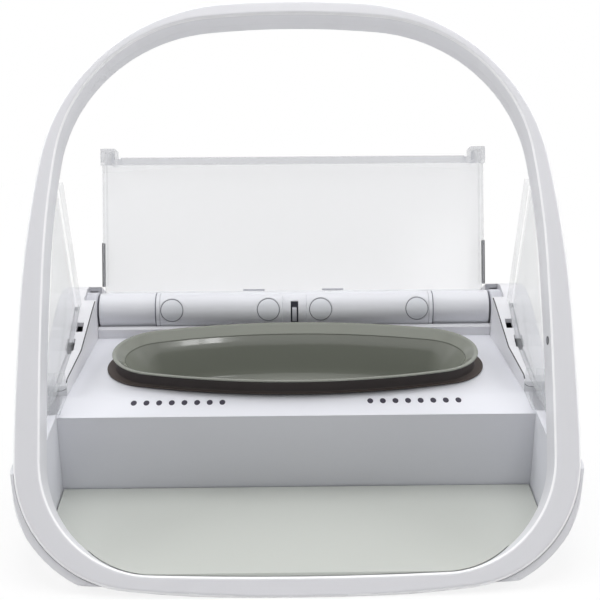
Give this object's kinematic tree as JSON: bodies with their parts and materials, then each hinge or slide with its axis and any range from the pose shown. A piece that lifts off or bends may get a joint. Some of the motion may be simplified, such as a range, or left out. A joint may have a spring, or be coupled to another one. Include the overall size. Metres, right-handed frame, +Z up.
{
  "type": "microchip pet feeder",
  "caption": "Pet feeder with a leaning reader hoop, a recessed oval bowl, a tray and a motor-driven lid that opens for one animal.",
  "frame": {"origin": "on the table under the middle of the feeder's bounding box", "axes": "+X across the feeder to the right seen from the front, +Y from the front to the back, +Z up"},
  "size_m": [0.232, 0.2553, 0.2065],
  "materials": {
    "white_plastic": "satin white",
    "deck_plastic": "fine matte light grey",
    "mat_rubber": "matte pale grey",
    "lid_plastic": "clear",
    "cap_plastic": "smooth white",
    "hub_plastic": "smooth pale grey",
    "clear_plastic": "clear",
    "bowl_plastic": "glossy dark grey brown",
    "seal_rubber": "matte dark brown",
    "strip_rubber": "matte dark grey",
    "window_plastic": "smoked",
    "coil_copper": "enamelled copper wire",
    "steel": "plain steel",
    "bearing_plastic": "natural bearing plastic",
    "gear_plastic": "natural gear plastic",
    "motor_steel": "drawn can",
    "board": "green circuit board",
    "switch_plastic": "black",
    "cell_sleeve": "printed-free dark sleeve",
    "contact_metal": "nickel plated",
    "button_plastic": "soft grey",
    "foot_rubber": "matte black"
  },
  "bodies": {
    "base": {"hoop_front": "white_plastic", "hoop_rear": "white_plastic", "antenna_coil": "coil_copper", "sensor_windows": "window_plastic", "base_shell": "white_plastic", "top_deck": "deck_plastic", "front_mat": "mat_rubber", "rear_cover": "white_plastic", "side_rail_left": "white_plastic", "side_rail_right": "white_plastic", "side_shield_left": "clear_plastic", "side_shield_right": "clear_plastic", "shield_clip_left": "clear_plastic", "shield_clip_right": "clear_plastic", "hub_cover_left": "hub_plastic", "hub_cover_right": "hub_plastic", "shaft_bushes": "bearing_plastic", "lid_motor": "motor_steel", "gear_plate": "steel", "idler_pin": "steel", "lid_position_switch": "switch_plastic", "battery_cells_left": "cell_sleeve", "battery_cells_right": "cell_sleeve", "battery_contacts": "contact_metal", "main_board": "board", "button_board": "board", "rubber_feet": "foot_rubber", "case_screws": "steel"},
    "lid_assembly": {"lid": "lid_plastic", "lid_edge_seals": "strip_rubber", "lid_carrier": "cap_plastic", "lid_caps": "cap_plastic", "lid_screws": "steel", "centre_catch": "cap_plastic", "pivot_pin_left": "steel", "drive_shaft_right": "steel", "lid_gear": "gear_plastic"},
    "idler": {"idler_gear": "gear_plastic"},
    "pinion": {"motor_pinion": "gear_plastic"},
    "bowl_assembly": {"bowl": "bowl_plastic", "bowl_gasket": "seal_rubber"},
    "learn": {"learn_button": "button_plastic"},
    "mode": {"mode_button": "button_plastic"},
    "cover_left": {"battery_cover_left": "white_plastic"},
    "cover_right": {"battery_cover_right": "white_plastic"}
  },
  "joints": [
    {"name": "lid_hinge", "type": "hinge", "parent": "base", "child": "lid_assembly", "pos_m": [0, 0.035, 0.0538], "axis": [-1, 0, 0], "range_deg": [-112, 0]},
    {"name": "idler_turn", "type": "hinge", "parent": "base", "child": "idler", "pos_m": [0, 0.044, 0.0418], "axis": [-1, 0, 0], "range_deg": [0, 128.1]},
    {"name": "pinion_turn", "type": "hinge", "parent": "base", "child": "pinion", "pos_m": [0, 0.0556, 0.0387], "axis": [-1, 0, 0], "range_deg": [-179.3, 0]},
    {"name": "bowl_lift", "type": "slide", "parent": "base", "child": "bowl_assembly", "axis": [0, 0, 1], "range_m": [0, 0.06]},
    {"name": "learn_press", "type": "slide", "parent": "base", "child": "learn", "axis": [0, -0.3657, -0.9308], "range_m": [0, 0.0015], "stiffness_N_per_m": 300, "springref_m": -0.001},
    {"name": "mode_press", "type": "slide", "parent": "base", "child": "mode", "axis": [0, -0.3657, -0.9308], "range_m": [0, 0.0015], "stiffness_N_per_m": 300, "springref_m": -0.001},
    {"name": "cover_left_slide", "type": "slide", "parent": "base", "child": "cover_left", "axis": [0, 0, -1], "range_m": [0, 0.01]},
    {"name": "cover_right_slide", "type": "slide", "parent": "base", "child": "cover_right", "axis": [0, 0, -1], "range_m": [0, 0.01]}
  ],
  "couplings": [
    {"joint": "idler_turn", "follows": "lid_hinge", "ratio": -1.1429},
    {"joint": "pinion_turn", "follows": "lid_hinge", "ratio": 1.6}
  ]
}
